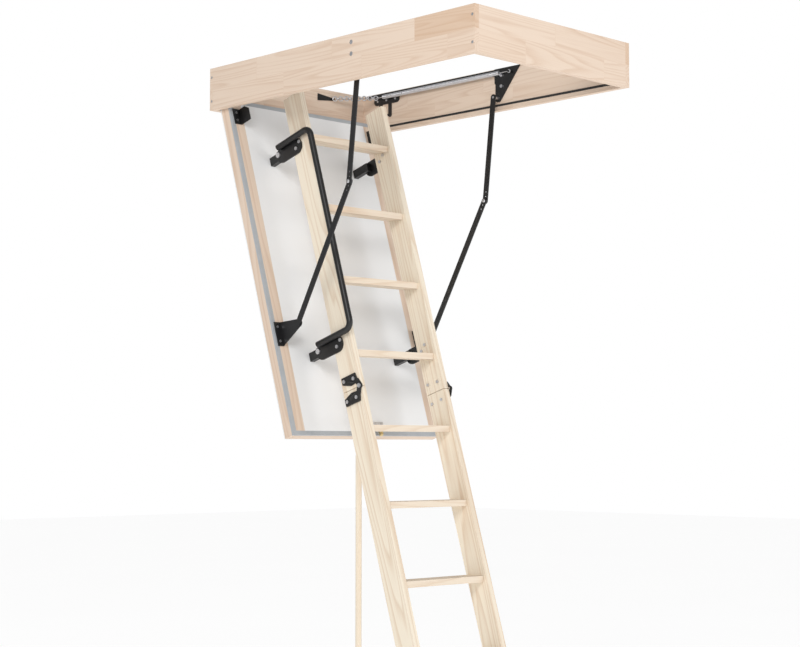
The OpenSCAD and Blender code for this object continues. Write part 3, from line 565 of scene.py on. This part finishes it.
def make_rib(name, node, up, body):
    """A pressed rib on both leaves of a hinge node, above the seam (up 1) or below it (up -1)."""
    low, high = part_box(node)
    rib_y, rib_z = on_slope(SEAM_S - up * RIB_FROM_SEAM, PIVOT_N - RIB_FROM_PIVOT)
    for side in (-1, 1):
        face = high[0] if side > 0 else low[0]
        deselect()
        bpy.ops.mesh.primitive_cube_add(size=1, location=(0, 0, 0))
        rib = bpy.context.object
        rib.name = name + ("_right" if side > 0 else "_left")
        bpy.ops.object.mode_set(mode="EDIT")
        bpy.ops.mesh.select_all(action="SELECT")
        bpy.ops.transform.resize(value=RIB_SIZE, center_override=(0, 0, 0))
        bpy.ops.mesh.select_all(action="DESELECT")
        bpy.ops.object.mode_set(mode="OBJECT")
        for face_of in rib.data.polygons:
            face_of.select = face_of.normal.x * side > 0.9
        for edge in rib.data.edges:
            edge.select = False
        bpy.ops.object.mode_set(mode="EDIT")
        bpy.ops.mesh.select_mode(type="FACE")
        bpy.ops.transform.resize(value=CREST, center_override=(RIB_SIZE[0] / 2 * side, 0, 0))
        bpy.ops.object.mode_set(mode="OBJECT")
        ease = rib.modifiers.new("crest", "BEVEL")
        ease.width = 0.5 * MM
        ease.segments = 2
        bpy.ops.object.modifier_apply(modifier=ease.name)
        rib.rotation_euler = (up * RIB_TILT - LEAN, 0, 0)
        rib.location = (face + side * RIB_STANDS, rib_y, rib_z)
        settle(rib)
        rib.data.materials.append(FINISH["black"])
        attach(rib, body)
    print(name, "on", body)


make_rib("rib_upper", "section_1_hinges", 1, "hatch")
make_rib("rib_lower", "section_2_hinges_top", -1, "section_2")


# %% [markdown]
# ## Light and camera
# A white surround, a large soft lamp above and to the left and a weak one from the right light the
# ladder evenly. A pale floor lies under its feet. The camera stands low and to the left, and looks
# slightly up.

# %% Stage
FLOOR_Z = cad_box[0][2]
FLOOR_SIZE = 60
FLOOR_GLOW = 0.55
SURROUND_LIGHT = 0.45
AIM = Vector((0, 0, -0.8))
CAMERA_PLACE = (-3.8753, -3.8993, -1.1129)
LENS = 78.15
YAW = math.radians(44.4)
PITCH_UP = math.radians(4.1)
deselect()
bpy.ops.mesh.primitive_plane_add(size=FLOOR_SIZE, location=(0, 0, FLOOR_Z - 0.5 * MM))
floor = bpy.context.object
floor.name = "studio_floor"
floor_finish = make_cloudy("studio_floor", (0.90, 0.90, 0.90), (0.93, 0.93, 0.93),
                           (0.8, 0.9), cloud=0.5, bump_by=0.0)
floor_shader = floor_finish.node_tree.nodes["Principled BSDF"]
floor_shader.inputs["Emission Color"].default_value = (1, 1, 1, 1)
floor_shader.inputs["Emission Strength"].default_value = FLOOR_GLOW
floor.data.materials.append(floor_finish)

world = bpy.data.worlds.new("surround")
bpy.context.scene.world = world
world.use_nodes = True
surround = world.node_tree.nodes["Background"]
links = world.node_tree.links
surround.inputs["Color"].default_value = (1, 1, 1, 1)
surround.inputs["Strength"].default_value = SURROUND_LIGHT
backdrop = add(world.node_tree, "ShaderNodeBackground")
backdrop.inputs["Color"].default_value = (1, 1, 1, 1)
backdrop.inputs["Strength"].default_value = 1.0
ray = add(world.node_tree, "ShaderNodeLightPath")
choose = add(world.node_tree, "ShaderNodeMixShader")
links.new(ray.outputs["Is Camera Ray"], choose.inputs[0])
links.new(surround.outputs[0], choose.inputs[1])
links.new(backdrop.outputs[0], choose.inputs[2])
links.new(choose.outputs[0], world.node_tree.nodes["World Output"].inputs[0])


def soft_lamp(name, place, size, watts):
    lamp_data = bpy.data.lights.new(name, "AREA")
    lamp_data.size = size
    lamp_data.energy = watts
    lamp = bpy.data.objects.new(name, lamp_data)
    bpy.context.collection.objects.link(lamp)
    lamp.location = place
    way = AIM - lamp.location
    lamp.rotation_euler = way.to_track_quat("-Z", "Y").to_euler()


soft_lamp("key", (-4.3, -3.2, 1.6), 2.0, 140)
soft_lamp("fill", (2.0, -4.5, -0.8), 2.5, 52)

camera_data = bpy.data.cameras.new("camera")
camera_data.sensor_width = 36
camera_data.sensor_fit = "HORIZONTAL"
camera_data.lens = LENS
camera_data.clip_end = 100
camera = bpy.data.objects.new("camera", camera_data)
bpy.context.collection.objects.link(camera)
camera.location = CAMERA_PLACE
look = Vector((math.sin(YAW) * math.cos(PITCH_UP), math.cos(YAW) * math.cos(PITCH_UP),
               math.sin(PITCH_UP)))
camera.rotation_euler = look.to_track_quat("-Z", "Y").to_euler()
bpy.context.scene.camera = camera
bpy.context.scene.view_settings.view_transform = "Standard"
print("camera", tuple(camera.location))
